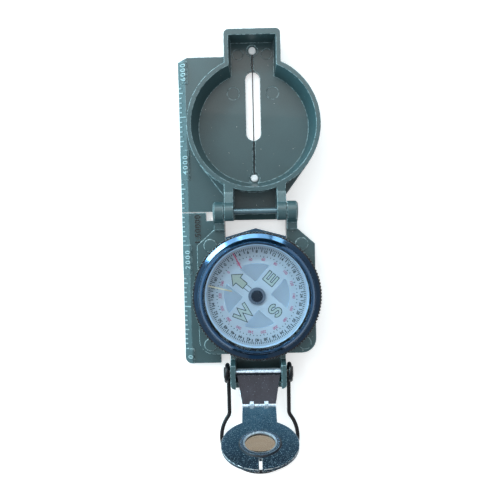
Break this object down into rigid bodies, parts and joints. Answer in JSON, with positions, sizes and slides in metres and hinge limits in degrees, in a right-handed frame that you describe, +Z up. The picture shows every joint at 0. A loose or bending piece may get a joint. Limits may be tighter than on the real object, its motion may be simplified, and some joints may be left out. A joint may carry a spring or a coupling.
{
  "type": "lensatic compass",
  "caption": "Folding lensatic compass: ruler-edged case, slotted sighting lid, free dial in a capsule under a turning knurled bezel, folding lens bracket and wire thumb loop.",
  "frame": {"origin": "on the axis of the dial, at the flat underside of the case", "axes": "+Y from the dial toward the opened lid, +Z up out of the dial, +X to the right, away from the ruler edge"},
  "size_m": [0.0582, 0.1869, 0.0514],
  "materials": {
    "case_paint": "satin grey-green paint on die-cast metal",
    "capsule_plastic": "pale grey moulded cup",
    "seal_rubber": "black rubber",
    "clear_plastic": "clear window",
    "pin_steel": "plain steel",
    "index_black": "dark painted sheet",
    "loop_black": "black oxide on steel wire",
    "plug_white": "white luminous plastic",
    "bezel_anodised": "dark anodised, knurled",
    "lume_line": "pale luminous paint",
    "red_paint": "thin red paint",
    "dial_white": "printed white card",
    "magnet_steel": "magnet steel",
    "hub_metal": "turned metal",
    "jewel_ruby": "synthetic jewel",
    "cap_dark": "dark cap",
    "bracket_steel": "satin plated sheet with a fine grain",
    "lens_glass": "clear magnifying lens"
  },
  "bodies": {
    "base": {"base_case": "case_paint", "capsule_cup": "capsule_plastic", "capsule_seal": "seal_rubber", "capsule_cover": "clear_plastic", "pivot_pin": "pin_steel", "index_washer": "index_black", "bezel_retainer": "pin_steel", "lid_hinge_pin": "pin_steel", "lens_hinge_pin": "pin_steel", "loop_studs": "loop_black"},
    "lid": {"lid_shell": "case_paint", "sight_wire": "pin_steel", "upper_wire_plug": "plug_white", "lower_wire_plug": "plug_white"},
    "bezel": {"bezel_ring": "bezel_anodised", "bezel_crystal": "clear_plastic", "crystal_gasket": "seal_rubber", "bearing_line": "lume_line", "red_line": "red_paint"},
    "dial": {"dial_card": "dial_white", "magnet_bar": "magnet_steel", "hub_cup": "hub_metal", "jewel": "jewel_ruby", "hub_cap": "cap_dark"},
    "sight_lens": {"lens_bracket": "bracket_steel", "lens_eyelet": "bracket_steel", "lens": "lens_glass"},
    "loop": {"thumb_loop": "loop_black"}
  },
  "joints": [
    {"name": "lid_hinge", "type": "hinge", "parent": "base", "child": "lid", "pos_m": [0, 0.035, 0.013], "axis": [1, 0, 0], "range_deg": [0, 180]},
    {"name": "bezel_turn", "type": "hinge", "parent": "base", "child": "bezel", "pos_m": [0, 0, 0.0085], "axis": [0, 0, 1], "continuous": true},
    {"name": "dial_turn", "type": "hinge", "parent": "base", "child": "dial", "pos_m": [0, 0, 0.0097], "axis": [0, 0, 1], "continuous": true},
    {"name": "lens_fold", "type": "hinge", "parent": "base", "child": "sight_lens", "pos_m": [0, -0.0323, 0.0085], "axis": [-1, 0, 0], "range_deg": [0, 105]},
    {"name": "loop_swing", "type": "hinge", "parent": "base", "child": "loop", "pos_m": [0, -0.0323, 0.0085], "axis": [-1, 0, 0], "range_deg": [-95, 40]}
  ]
}
